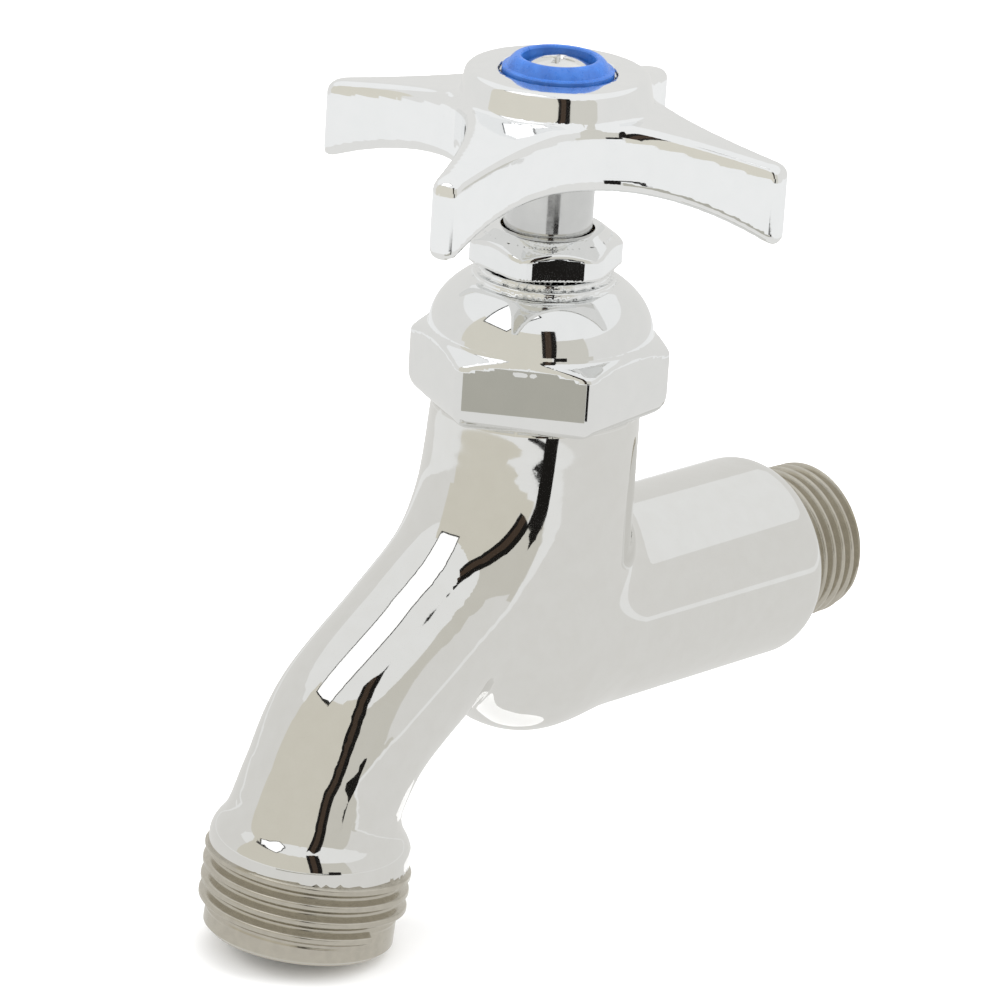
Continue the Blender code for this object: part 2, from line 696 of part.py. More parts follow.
def handle_star():
    """The four arms in one piece: upright concave walls, sloping tops and an arched underside."""
    outline = []
    for quarter in range(4):
        turn = HANDLE_TURN + quarter * pi / 2.0
        for forward, side in star_sector():
            x = forward * cos(turn) - side * sin(turn)
            y = forward * sin(turn) + side * cos(turn)
            outline.append((x, y, max(forward, side)))
    bm = bmesh.new()
    core = 6.0 * MM
    rings = []
    for share in (1.0, 0.66, 0.4, 0.2):
        rings.append(star_ring(bm, outline, core, share, arm_underside))
    for share in (1.0, 0.4, 0.2):
        rings.insert(0, star_ring(bm, outline, core, share, arm_top))
    count = len(outline)
    for upper, lower in zip(rings, rings[1:]):
        for step in range(count):
            after = (step + 1) % count
            bm.faces.new((upper[step], lower[step], lower[after], upper[after]))
    bm.faces.new(rings[0])
    bm.faces.new(rings[-1])
    return object_from(bm, "handle")


def star_ring(bm, outline, core, share, height):
    """One ring of the star, drawn in towards a round core."""
    verts = []
    for x, y, reach in outline:
        length = sqrt(x * x + y * y)
        scale = share + (1.0 - share) * core / length
        verts.append(bm.verts.new((x * scale, y * scale, height(reach * scale))))
    return verts


def round_edges(obj, width, angle):
    bevel = obj.modifiers.new("edges", "BEVEL")
    bevel.width = width
    bevel.segments = 2
    bevel.limit_method = "ANGLE"
    bevel.angle_limit = radians(angle)
    return settle_modifiers(obj)


def handle(finish):
    """Cross handle: four arms, a round hub with a pocket on top and a square socket below."""
    star = round_edges(handle_star(), 0.8 * MM, 40.0)
    hub = [(0.0, 36.0 * MM), (HUB_BASE_R, 36.0 * MM), (HUB_BASE_R, ARM_ROOT_TOP_H)]
    hub += [(HUB_TOP_R + 0.2 * MM, HUB_TOP_H - 0.9 * MM), (HUB_TOP_R - 0.5 * MM, HUB_TOP_H), (0.0, HUB_TOP_H)]
    combine(star, turned("hub", hub, 40), "UNION")
    boss = [(0.0, HUB_BOSS_H), (HUB_BOSS_R - 0.6 * MM, HUB_BOSS_H), (HUB_BOSS_R, HUB_BOSS_H + 0.6 * MM)]
    boss += [(HUB_BOSS_R, 38.0 * MM), (0.0, 38.0 * MM)]
    combine(star, turned("boss", boss, 32), "UNION")
    above = HUB_TOP_H + 15.0 * MM
    pocket = [(0.0, RING_POCKET_H), (RING_POCKET_R, RING_POCKET_H), (RING_POCKET_R, above), (0.0, above)]
    combine(star, turned("pocket", pocket, 32), "DIFFERENCE")
    socket = [(0.0, 20.0 * MM), (STEM_R + GAP, 20.0 * MM), (STEM_R + GAP, SQUARE_BASE_H + GAP)]
    socket += [(0.0, SQUARE_BASE_H + GAP)]
    combine(star, turned("socket", socket, 32), "DIFFERENCE")
    side = SQUARE_HALF + GAP
    square = [(-side, -side), (side, -side), (side, side), (-side, side)]
    drive = prism("square", square, 30.0 * MM, SPINDLE_TOP_H + GAP)
    combine(star, move(drive, Matrix.Rotation(HANDLE_TURN, 4, "Z")), "DIFFERENCE")
    hole = [(0.0, 40.0 * MM), (SCREW_HOLE_R, 40.0 * MM), (SCREW_HOLE_R, above), (0.0, above)]
    combine(star, turned("hole", hole, 16), "DIFFERENCE")
    return finished(star, finish)


def index_ring(finish):
    """Coloured ring with a small lip at its foot, a domed flank and a round hole."""
    low = RING_POCKET_H + GAP
    profile = [(RING_HOLE_R, low), (RING_R, low), (RING_R, HUB_TOP_H + 0.3 * MM)]
    profile += [(RING_R - 0.25 * MM, HUB_TOP_H + 0.6 * MM), (RING_R - 1.0 * MM, HUB_TOP_H + 1.3 * MM)]
    profile += [(RING_R - 1.7 * MM, RING_TOP_H - 0.1 * MM), (RING_HOLE_R + 0.3 * MM, RING_TOP_H)]
    profile += [(RING_HOLE_R, RING_TOP_H - 0.3 * MM)]
    return place_on_stem(turned("index_ring", profile, 28, finish))


def handle_lock_washer(finish):
    """Split spring washer under the screw's head."""
    low = RING_POCKET_H + GAP
    washer = turned("handle_lock_washer", ring_profile(SCREW_R + 0.5 * MM, 4.2 * MM, low, low + 0.8 * MM), 24)
    cut_slot(washer, 0.4 * MM, low)
    return finished(washer, finish)


def handle_screw(finish):
    """Pan head screw with a cross recess."""
    seat = RING_POCKET_H + 1.4 * MM
    shoulder = SCREW_HEAD_R - 0.5 * MM
    crown = SCREW_HEAD_R - 1.6 * MM
    profile = [(0.0, SCREW_LOW_H), (SCREW_R, SCREW_LOW_H), (SCREW_R, seat), (SCREW_HEAD_R, seat)]
    profile += [(SCREW_HEAD_R, seat + 0.8 * MM), (shoulder, seat + 1.35 * MM)]
    profile += [(crown, SCREW_TOP_H - 0.15 * MM), (0.0, SCREW_TOP_H)]
    screw = turned("handle_screw", profile, 24)
    long = 1.9 * MM
    wide = 0.4 * MM
    for turn in (0.0, pi / 2.0):
        blade = [(-long, -wide), (long, -wide), (long, wide), (-long, wide)]
        cutter = prism("blade", blade, SCREW_TOP_H - 1.1 * MM, SCREW_TOP_H + 1.0 * MM)
        combine(screw, move(cutter, Matrix.Rotation(turn, 4, "Z")), "DIFFERENCE")
    return finished(screw, finish)


def build():
    clear_scene()
    chrome = material("chrome", CHROME, 0.08, 1.0)
    brass = material("brass", BRASS, 0.35, 1.0)
    steel = material("steel", CHROME, 0.25, 1.0)
    rubber = material("rubber", RUBBER, 0.7, 0.0)
    packing = material("packing", PACKING, 0.8, 0.0)
    fibre = material("fibre", FIBRE, 0.8, 0.0)
    faucet_body(chrome)
    renewable_seat(brass)
    seat_gasket(fibre)
    seat_washer(rubber)
    disc_holder(brass)
    holder_clip(steel)
    washer_screw(steel)
    bonnet(chrome)
    bonnet_gasket(fibre)
    packing_piece("packing_washer", 16.3, 17.1, brass)
    packing_piece("packing_lower", 17.4, 19.0, packing)
    packing_piece("packing_upper", 19.3, 20.9, packing)
    packing_piece("packing_gland", 21.2, 23.2, brass)
    packing_nut(chrome)
    spindle(steel)
    handle(chrome)
    index_ring(material("index_blue", BLUE, 0.3, 0.0))
    handle_lock_washer(steel)
    handle_screw(steel)


build()
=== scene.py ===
"""Looks of the hose bib: smooth chrome, cut threads, a coloured index ring and a small studio.

Lengths are in metres. The origin is the centre of the inlet's end face, +Y points to the wall, +Z is
up and the spout leans towards -Y. The stem frame used below has its origin on the stem's axis, in the
plane where the bonnet meets the body. Heights named *_H are measured there.
"""

import json
from math import cos, pi, radians, sin, sqrt, tan

import bpy
import numpy as np
from mathutils import Matrix, Vector

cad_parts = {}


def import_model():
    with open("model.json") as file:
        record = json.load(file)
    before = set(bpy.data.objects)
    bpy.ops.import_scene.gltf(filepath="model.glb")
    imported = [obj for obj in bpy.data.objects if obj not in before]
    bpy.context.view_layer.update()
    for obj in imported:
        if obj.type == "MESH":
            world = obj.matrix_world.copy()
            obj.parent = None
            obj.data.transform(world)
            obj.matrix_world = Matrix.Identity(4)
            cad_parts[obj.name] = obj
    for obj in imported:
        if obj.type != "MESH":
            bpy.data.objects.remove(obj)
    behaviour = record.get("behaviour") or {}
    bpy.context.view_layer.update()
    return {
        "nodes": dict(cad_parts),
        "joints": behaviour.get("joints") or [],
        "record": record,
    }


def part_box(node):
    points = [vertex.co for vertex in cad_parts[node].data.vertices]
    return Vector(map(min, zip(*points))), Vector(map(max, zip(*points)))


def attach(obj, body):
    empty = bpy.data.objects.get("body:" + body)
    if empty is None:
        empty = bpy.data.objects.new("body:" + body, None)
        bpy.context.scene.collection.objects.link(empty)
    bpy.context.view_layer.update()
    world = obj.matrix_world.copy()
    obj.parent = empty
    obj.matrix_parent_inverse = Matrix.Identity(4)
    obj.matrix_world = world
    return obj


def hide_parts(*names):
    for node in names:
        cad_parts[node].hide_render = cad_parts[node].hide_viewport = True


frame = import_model()

MM = 0.001
GAP = 0.3 * MM

# The stem's axis, the joint under the bonnet and the lowest level come from the frame
hinge = [joint for joint in frame["joints"] if joint["name"] == "handle_turn"][0]
STEM_Y = hinge["pos_m"][1]
JOINT_Z = hinge["pos_m"][2]
CAD_LOW_Z = min(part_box(name)[0].z for name in frame["nodes"])

# Casting
NECK_R = 13.6 * MM
BARREL_R = 13.65 * MM
BARREL_END_Y = -9.6 * MM
SHOULDER_R = 4.4 * MM
CREASE_BLEND = 3.0 * MM
SPOUT_BLEND = 5.0 * MM
COLLAR_BLEND = 4.0 * MM
CASTING_TOP_H = 0.6 * MM
CASTING_REACH = 52.0 * MM
CASTING_DROP = 56.5 * MM
SPOUT_STEPS = 20
# How far out from the stem and how high the spout's middle line is, and its radius there, in mm
SPOUT_PATH = (
    (-2.6, -7.3, 10.0),
    (-4.6, -15.0, 11.1),
    (-11.3, -23.0, 11.1),
    (-19.2, -29.2, 10.9),
    (-29.5, -37.4, 10.9),
    (-34.2, -45.2, 10.7),
    (-35.7, -49.5, 11.1),
)
OUTLET_TILT = radians(6.5)

# Waterway
INLET_BORE_R = 7.0 * MM
CHAMBER_R = 10.0 * MM
CHAMBER_FLOOR_H = -17.5 * MM
SOCKET_R = 11.6 * MM
SOCKET_FLOOR_H = -10.5 * MM
SEAT_HOLE_R = 6.3 * MM
SEAT_HOLE_LOW_H = -26.0 * MM
INLET_BORE_START = 2.5 * MM
SPOUT_BORE_R = 6.2 * MM
OUTLET_BORE_R = 8.2 * MM
ABOVE_ALL_H = 60.0 * MM  # open ends of the bores, well outside the metal
BELOW_ALL_H = -20.0 * MM

# Threads
PIPE_PITCH = 1.814 * MM
PIPE_END_R = 10.35 * MM
PIPE_TAPER = 1.0 / 32.0
PIPE_DEPTH = 1.15 * MM
PIPE_LENGTH = -BARREL_END_Y + 2.0 * MM
HOSE_PITCH = 2.209 * MM
HOSE_MAJOR_R = 13.45 * MM
HOSE_RIM_R = 12.1 * MM
HOSE_DEPTH = 1.1 * MM
HOSE_COLLAR_R = 12.9 * MM
HOSE_START = 4.6 * MM
HOSE_LENGTH = 15.8 * MM
FIRST_CREST = 5.7 * MM
BORE_LIP = 0.35 * MM
THREAD_STEPS = 144
THREAD_ROWS = 130

# Bonnet and packing nut
HEX_FLAT_R = 14.9 * MM
HEX_CORNER_R = 16.95 * MM
HEX_HIGH_H = 10.6 * MM
HEX_TURN = radians(-52.0)
DOME_BASE_R = 14.6 * MM
DOME_BASE_H = 10.3 * MM
DOME_RISE = 9.5 * MM
DOME_TOP_H = 17.4 * MM
DOME_LOW_H = 9.0 * MM
LOWER_STEP_R = 9.35 * MM
LOWER_STEP_H = 18.1 * MM
UPPER_STEP_R = 8.6 * MM
UPPER_STEP_H = 18.9 * MM
BONNET_NECK_R = 7.75 * MM
BONNET_NECK_H = 22.3 * MM
PLUG_R = 11.3 * MM
PLUG_LOW_H = -9.5 * MM
PACKING_ROOM_R = 6.95 * MM
PACKING_ROOM_LOW_H = 16.0 * MM
STEM_THREAD_BORE_R = 6.75 * MM
STEM_THREAD_TOP_H = 14.6 * MM
WELL_R = 8.9 * MM
WELL_TOP_H = -2.2 * MM
STEM_R = 5.75 * MM
NUT_FLAT_R = 9.1 * MM
NUT_CORNER_R = 10.0 * MM
NUT_LOW_H = 19.4 * MM
NUT_TOP_H = 24.4 * MM
NUT_CONE_H = 22.3 * MM
NUT_BORE_R = 8.05 * MM
NUT_BORE_TOP_H = 23.3 * MM
NUT_TURN = radians(-34.5)

# Handle
HANDLE_TURN = radians(-69.9)
ARM_REACH = 32.1 * MM
ARM_HALF_TIP = 1.8 * MM
ARM_TIP_TOP_H = 38.0 * MM
ARM_TIP_LOW_H = 27.4 * MM
ARM_ROOT_TOP_H = 41.2 * MM
ARM_ROOT_LOW_H = 32.5 * MM
WAIST_R = 13.1 * MM
HUB_TOP_R = 11.8 * MM
HUB_BASE_R = 12.5 * MM
HUB_TOP_H = 45.0 * MM
HUB_BOSS_R = 8.6 * MM
HUB_BOSS_H = 31.2 * MM
RING_POCKET_R = 7.6 * MM
RING_POCKET_H = 43.4 * MM
RING_R = 7.2 * MM
RING_TOP_H = 46.8 * MM
RING_HOLE_R = 4.75 * MM
SQUARE_HALF = 3.8 * MM
SQUARE_BASE_H = 36.0 * MM
SPINDLE_TOP_H = 42.2 * MM
SPINDLE_THREAD_R = 6.4 * MM
SPINDLE_THREAD_LOW_H = -3.4 * MM
SPINDLE_THREAD_RISE = 10.6 * MM
SPINDLE_THREAD_DEPTH = 0.7 * MM
SPINDLE_TURNS = 6
SCREW_R = 1.95 * MM
SCREW_HOLE_R = 2.4 * MM
SCREW_HEAD_R = 4.4 * MM
SCREW_SEAT_H = RING_POCKET_H + 1.4 * MM
SCREW_TOP_H = 46.65 * MM
SCREW_LOW_H = 35.0 * MM
RECESS_DEPTH = 1.3 * MM
RECESS_TURN = 0.5

# Grid cells of the skins
CASTING_CELL = 0.85 * MM
BONNET_CELL = 0.5 * MM
NUT_CELL = 0.3 * MM
HANDLE_CELL = 0.6 * MM
SCREW_CELL = 0.16 * MM
RELAX_ROUNDS = 3


# Distance fields. A field takes points (n, 3) and is negative inside the form.


def blend(first, second, width):
    """Smooth union of two fields, with a fillet of about this width."""
    near = np.maximum(width - np.abs(first - second), 0.0) / width
    return np.minimum(first, second) - near * near * width / 4.0


def meet(first, second, width):
    """Smooth intersection of two fields, with an edge rounded by about this width."""
    return -blend(-first, -second, width)


def carve(solid, hole, width):
    """Takes a hole out of a solid, with its edge rounded by about this width."""
    return meet(solid, -hole, width)


def disc(r, h, radius, low, high):
    """Upright cylinder between two heights, with crisp edges."""
    return np.maximum(r - radius, np.maximum(low - h, h - high))


def hexagon(x, y, flat_r, turn):
    """Six flats, one of them facing the given direction."""
    angles = [turn + pi / 3.0 * side for side in range(6)]
    return np.max([x * cos(a) + y * sin(a) for a in angles], axis=0) - flat_r


def on_stem(points):
    """Radius and height of points in the stem frame."""
    return np.hypot(points[:, 0], points[:, 1] - STEM_Y), points[:, 2] - JOINT_Z


def spout_balls(steps):
    """Centres and radii of balls along the spout, on a smooth curve through SPOUT_PATH."""
    knots = np.array(SPOUT_PATH) * MM
    ends = np.vstack([2.0 * knots[0] - knots[1], knots, 2.0 * knots[-1] - knots[-2]])
    rows = []
    for k in range(1, len(knots)):
        a, b, c, d = ends[k - 1 : k + 3]
        for t in np.linspace(0.0, 1.0, steps, endpoint=False):
            bend = (2.0 * a - 5.0 * b + 4.0 * c - d) * t + (3.0 * (b - c) + d - a) * t * t
            rows.append(b + 0.5 * t * (c - a + bend))
    rows.append(knots[-1])
    rows = np.array(rows)
    centres = np.column_stack([np.zeros(len(rows)), STEM_Y + rows[:, 0], JOINT_Z + rows[:, 1]])
    return centres, rows[:, 2]


def tube(points, centres, radii):
    """Distance to the tube that a row of balls describes."""
    nearest = np.full(len(points), 1.0)
    for start, end, r0, r1 in zip(centres, centres[1:], radii, radii[1:]):
        along = end - start
        share = np.clip((points - start) @ along / (along @ along), 0.0, 1.0)
        gap = np.linalg.norm(points - start - share[:, None] * along, axis=1)
        nearest = np.minimum(nearest, gap - r0 - share * (r1 - r0))
    return nearest


SPOUT_CENTRES, SPOUT_RADII = spout_balls(SPOUT_STEPS)
OUTLET = SPOUT_CENTRES[-1]
OUTLET_DOWN = np.array([0.0, -sin(OUTLET_TILT), -cos(OUTLET_TILT)])


def on_outlet(points):
    """Radius and distance down the outlet's axis from the spout's end."""
    offset = points - OUTLET
    drop = offset @ OUTLET_DOWN
    return np.linalg.norm(offset - drop[:, None] * OUTLET_DOWN, axis=1), drop


def barrel(points):
    """Horizontal barrel: a round nose in front, a rounded shoulder at the wall side."""
    across = np.hypot(points[:, 0], points[:, 2])
    along = points[:, 1] - STEM_Y
    nose = np.hypot(across, np.minimum(along, 0.0)) - BARREL_R
    out = across - (BARREL_R - SHOULDER_R)
    back = points[:, 1] - (BARREL_END_Y - SHOULDER_R)
    outside = np.hypot(np.maximum(out, 0.0), np.maximum(back, 0.0))
    shoulder = outside + np.minimum(np.maximum(out, back), 0.0) - SHOULDER_R
    return np.maximum(nose, shoulder)


def waterway(points):
    """Inlet bore, valve chamber, seat hole and spout passage."""
    r, h = on_stem(points)
    room = disc(r, h, CHAMBER_R, CHAMBER_FLOOR_H, ABOVE_ALL_H)
    room = np.minimum(room, disc(r, h, SOCKET_R, SOCKET_FLOOR_H, ABOVE_ALL_H))
    room = np.minimum(room, disc(r, h, SEAT_HOLE_R, SEAT_HOLE_LOW_H, ABOVE_ALL_H))
    across = np.hypot(points[:, 0], points[:, 2])
    along = points[:, 1] - (STEM_Y + INLET_BORE_START)
    inlet = np.hypot(across, np.minimum(along, 0.0)) - INLET_BORE_R
    share = np.clip(np.linspace(-0.5, 1.0, len(SPOUT_RADII)), 0.0, 1.0)
    radii = SPOUT_BORE_R + share * (OUTLET_BORE_R - SPOUT_BORE_R)
    first = len(SPOUT_RADII) // 4
    centres = np.vstack([SPOUT_CENTRES[first:], OUTLET + 9.0 * MM * OUTLET_DOWN])
    passage = tube(points, centres, np.append(radii[first:], OUTLET_BORE_R))
    return np.minimum(np.minimum(room, inlet), passage)


def casting(points):
    """Neck, spout, barrel and the collar over the hose thread, round the waterway."""
    r, h = on_stem(points)
    neck = np.hypot(r, np.minimum(points[:, 2], 0.0)) - NECK_R
    shape = blend(neck, tube(points, SPOUT_CENTRES, SPOUT_RADII), SPOUT_BLEND)
    shape = blend(shape, barrel(points), CREASE_BLEND)
    outlet_r, drop = on_outlet(points)
    collar = meet(outlet_r - HOSE_COLLAR_R, 1.6 * MM - drop, 2.4 * MM)
    below_end = drop - HOSE_START - 0.4 * MM
    collar = meet(collar, below_end, 0.4 * MM)
    shape = np.maximum(blend(shape, collar, COLLAR_BLEND), below_end)
    shape = np.maximum(shape, h - CASTING_TOP_H)
    return carve(shape, waterway(points), 0.2 * MM)


def dome(r, h):
    """Upper half of a flattened ball on a short drum."""
    rise = np.maximum(h - DOME_BASE_H, 0.0) / DOME_RISE
    ball = (np.hypot(r / DOME_BASE_R, rise) - 1.0) * DOME_RISE
    return np.maximum(ball, DOME_LOW_H - h)


def bonnet(points):
    """Hexagon with a sloped top, the dome, two thin steps, the neck and the bored plug."""
    r, h = on_stem(points)
    flats = hexagon(points[:, 0], points[:, 1] - STEM_Y, HEX_FLAT_R, HEX_TURN)
    block = meet(flats, r - HEX_CORNER_R, 0.35 * MM)
    top_slope = (r - HEX_FLAT_R) * 0.535 + (h - 10.1 * MM) * 0.845
    block = meet(block, 0.02 * MM - h, 3.4 * MM)
    block = meet(block, top_slope, 0.45 * MM)
    block = meet(block, h - HEX_HIGH_H, 0.3 * MM)
    shape = blend(block, meet(dome(r, h), h - DOME_TOP_H, 0.7 * MM), 0.35 * MM)
    shape = np.minimum(shape, meet(r - LOWER_STEP_R, h - LOWER_STEP_H, 0.4 * MM))
    shape = np.minimum(shape, meet(r - UPPER_STEP_R, h - UPPER_STEP_H, 0.3 * MM))
    shape = np.minimum(shape, disc(r, h, BONNET_NECK_R, DOME_LOW_H, BONNET_NECK_H))
    shape = np.minimum(shape, disc(r, h, PLUG_R, PLUG_LOW_H, 2.0 * MM))
    shape = np.maximum(shape, PLUG_LOW_H - h)
    bore = disc(r, h, STEM_R + GAP, BELOW_ALL_H, ABOVE_ALL_H)
    bore = np.minimum(bore, disc(r, h, PACKING_ROOM_R, PACKING_ROOM_LOW_H, ABOVE_ALL_H))
    bore = np.minimum(bore, disc(r, h, STEM_THREAD_BORE_R, BELOW_ALL_H, STEM_THREAD_TOP_H))
    bore = np.minimum(bore, disc(r, h, WELL_R, BELOW_ALL_H, WELL_TOP_H))
    return np.maximum(shape, -bore)


def packing_nut(points):
    """Small hexagon with a coned top, bored for the stem and the bonnet's neck."""
    r, h = on_stem(points)
    flats = hexagon(points[:, 0], points[:, 1] - STEM_Y, NUT_FLAT_R, NUT_TURN)
    block = meet(flats, r - NUT_CORNER_R, 0.4 * MM)
    cone = (r - NUT_CORNER_R) * 0.6 + (h - NUT_CONE_H) * 0.8
    block = meet(block, cone, 0.35 * MM)
    block = meet(block, h - NUT_TOP_H, 0.25 * MM)
    block = meet(block, NUT_LOW_H - h, 0.25 * MM)
    bore = disc(r, h, STEM_R + GAP, 0.0, ABOVE_ALL_H)
    bore = np.minimum(bore, disc(r, h, NUT_BORE_R, 0.0, NUT_BORE_TOP_H))
    return carve(block, bore, 0.3 * MM)


def handle(points):
    """Four arms with hyperbolic walls, a round hub, its pocket and the square socket."""
    r, h = on_stem(points)
    x = points[:, 0]
    y = points[:, 1] - STEM_Y
    forward = np.abs(x * cos(HANDLE_TURN) + y * sin(HANDLE_TURN))
    side = np.abs(y * cos(HANDLE_TURN) - x * sin(HANDLE_TURN))
    waist = WAIST_R / sqrt(2.0)
    shift = (waist * waist - ARM_REACH * ARM_HALF_TIP) / (ARM_REACH + ARM_HALF_TIP - 2.0 * waist)
    walls = (forward + shift) * (side + shift) - (waist + shift) ** 2
    walls = walls / np.hypot(forward + shift, side + shift)
    reach = np.maximum(forward, side)
    share = np.clip((reach - HUB_BASE_R) / (ARM_REACH - HUB_BASE_R), 0.0, 1.2)
    top = ARM_ROOT_TOP_H + (ARM_TIP_TOP_H - ARM_ROOT_TOP_H) * share
    droop = np.clip((reach - waist) / (ARM_REACH - waist), 0.0, 1.2)
    low = ARM_ROOT_LOW_H + (ARM_TIP_LOW_H - ARM_ROOT_LOW_H) * droop * droop
    star = meet(walls, reach - ARM_REACH, 1.3 * MM)
    star = meet(star, (h - top) * 0.98, 1.5 * MM)
    star = meet(star, (low - h) * 0.93, 1.5 * MM)
    rise = np.clip((h - ARM_ROOT_TOP_H) / (HUB_TOP_H - ARM_ROOT_TOP_H), 0.0, 1.0)
    hub_r = HUB_BASE_R - (HUB_BASE_R - HUB_TOP_R) * rise
    hub = meet(r - hub_r, h - HUB_TOP_H, 0.9 * MM)
    hub = np.maximum(hub, SQUARE_BASE_H - h)
    shape = blend(star, hub, 0.7 * MM)
    boss = meet(disc(r, h, HUB_BOSS_R, 0.0, 38.0 * MM), HUB_BOSS_H - h, 0.8 * MM)
    shape = blend(shape, boss, 1.0 * MM)
    shape = carve(shape, disc(r, h, RING_POCKET_R, RING_POCKET_H, ABOVE_ALL_H), 0.4 * MM)
    shape = carve(shape, disc(r, h, STEM_R + GAP, 0.0, SQUARE_BASE_H + GAP), 0.3 * MM)
    square = np.maximum(np.maximum(forward, side) - SQUARE_HALF - GAP, h - SPINDLE_TOP_H - GAP)
    return np.maximum(np.maximum(shape, -square), SCREW_HOLE_R - r)


def screw_head(points):
    """Pan head with a tapered cross recess, on its shank."""
    r, h = on_stem(points)
    crown = np.hypot(r, (h - SCREW_TOP_H + 6.0 * MM) * 1.2) - 7.2 * MM
    head = meet(meet(crown, r - SCREW_HEAD_R, 0.5 * MM), SCREW_SEAT_H - h, 0.3 * MM)
    east = points[:, 0]
    north = points[:, 1] - STEM_Y
    x = np.abs(east * cos(RECESS_TURN) + north * sin(RECESS_TURN))
    y = np.abs(north * cos(RECESS_TURN) - east * sin(RECESS_TURN))
    depth = np.clip((SCREW_TOP_H - h) / RECESS_DEPTH, 0.0, 1.0)
    long = 2.3 * MM - 1.1 * MM * depth
    wide = 0.42 * MM - 0.12 * MM * depth
    cross = np.minimum(np.maximum(x - long, y - wide), np.maximum(y - long, x - wide))
    cross = np.maximum(cross, SCREW_TOP_H - RECESS_DEPTH - h)
    head = carve(head, cross, 0.15 * MM)
    shank = disc(r, h, SCREW_R, SCREW_LOW_H, SCREW_SEAT_H + 0.5 * MM)
    return np.minimum(head, shank)


# Skins: a fine mesh laid on a field's zero level


def slopes(field, places):
    """The field's gradient, by central differences."""
    step = 0.02 * MM
    slope = np.empty_like(places)
    for k in range(3):
        ahead = places.copy()
        ahead[:, k] += step
        behind = places.copy()
        behind[:, k] -= step
        slope[:, k] = (field(ahead) - field(behind)) / (2.0 * step)
    return slope


def settle(field, places, rounds):
    """Slides points along the field's slope until they lie on its zero level."""
    for _ in range(rounds):
        slope = slopes(field, places)
        size = np.maximum((slope * slope).sum(axis=1), 0.3)
        pull = np.clip(field(places) / size, -0.5 * MM, 0.5 * MM)
        places = places - slope * pull[:, None]
    return places


def relax(places, quads, field, rounds):
    """Evens out the mesh by moving points towards their neighbours and back onto the surface."""
    starts = quads.ravel()
    ends = np.roll(quads, -1, axis=1).ravel()
    count = np.bincount(starts, minlength=len(places)) + np.bincount(ends, minlength=len(places))
    for _ in range(rounds):
        total = np.zeros_like(places)
        np.add.at(total, starts, places[ends])
        np.add.at(total, ends, places[starts])
        normal = slopes(field, places)
        normal /= np.maximum(np.linalg.norm(normal, axis=1), 1e-9)[:, None]
        drift = total / count[:, None] - places
        drift -= (drift * normal).sum(axis=1)[:, None] * normal
        places = settle(field, places + 0.5 * drift, 1)
    return places


def field_mesh(field, low, high, cell):
    """One point in each grid cell that the surface crosses, and the quads that join them."""
    counts = np.ceil((high - low) / cell).astype(int) + 1
    axes = [low[k] + cell * np.arange(counts[k]) for k in range(3)]
    grid = np.stack(np.meshgrid(*axes, indexing="ij"), axis=-1)
    values = field(grid.reshape(-1, 3)).reshape(counts)
    total = np.zeros((values.size, 3))
    hits = np.zeros(values.size)
    stride = np.array([counts[1] * counts[2], counts[2], 1])
    quads = []
    for k in range(3):
        start = values[tuple(slice(0, -1) if axis == k else slice(None) for axis in range(3))]
        end = values[tuple(slice(1, None) if axis == k else slice(None) for axis in range(3))]
        index = np.argwhere((start < 0.0) != (end < 0.0))
        first = start[tuple(index.T)]
        second = end[tuple(index.T)]
        spots = grid[tuple(index.T)]
        spots[:, k] += cell * first / (first - second)
        u = (k + 1) % 3
        v = (k + 2) % 3
        base = index @ stride
        cells = np.stack([base, base - stride[u], base - stride[u] - stride[v], base - stride[v]], axis=1)
        for column in range(4):
            np.add.at(total, cells[:, column], spots)
            np.add.at(hits, cells[:, column], 1.0)
        outward = first < 0.0
        quads.append(np.where(outward[:, None], cells, cells[:, ::-1]))
    quads = np.vstack(quads)
    used = np.flatnonzero(hits)
    numbers = np.zeros(values.size, int)
    numbers[used] = np.arange(len(used))
    return total[used] / hits[used][:, None], numbers[quads]


def mesh_object(name, places, faces):
    """A smooth-shaded object of a mesh."""
    mesh = bpy.data.meshes.new(name)
    mesh.from_pydata([tuple(place) for place in places], [], [tuple(face) for face in faces])
    mesh.validate()
    obj = bpy.data.objects.new(name, mesh)
    bpy.context.scene.collection.objects.link(obj)
    mesh.shade_smooth()
    return obj


def skin(name, field, low, high, cell):
    """A closed smooth mesh of a field, whose shading follows the field's own slope."""
    low = np.array(low) - 2.0 * cell
    high = np.array(high) + 2.0 * cell
    places, quads = field_mesh(field, low, high, cell)
    places = settle(field, places, 3)
    places = relax(places, quads, field, RELAX_ROUNDS)
    places = settle(field, places, 2)
    obj = mesh_object(name, places, [[int(n) for n in quad] for quad in quads])
    slope = slopes(field, places)
    slope /= np.maximum(np.linalg.norm(slope, axis=1), 1e-9)[:, None]
    obj.data.normals_split_custom_set_from_vertices([tuple(normal) for normal in slope])
    return obj


# Turned pieces and cut threads


def turned(name, profile, steps=THREAD_STEPS):
    """A solid turned about Z from a closed outline of (radius, height) points, placed on the stem."""
    turns = np.arange(steps) * 2.0 * pi / steps
    places = []
    for radius, height in profile:
        places += [(radius * cos(a), STEM_Y + radius * sin(a), JOINT_Z + height) for a in turns]
    obj = mesh_object(name, places, wrapped_quads(len(profile), steps))
    obj.data.set_sharp_from_angle(angle=radians(28.0))
    return obj


def wrapped_quads(rows, steps):
    """Quads of a grid that closes on itself both ways."""
    quads = []
    for row in range(rows):
        after = (row + 1) % rows
        for step in range(steps):
            turn = (step + 1) % steps
            quads.append((row * steps + step, row * steps + turn, after * steps + turn, after * steps + step))
    return quads


def smooth_step(value):
    """Rises smoothly from 0 to 1 as the value does."""
    share = np.clip(value, 0.0, 1.0)
    return share * share * (3.0 - 2.0 * share)


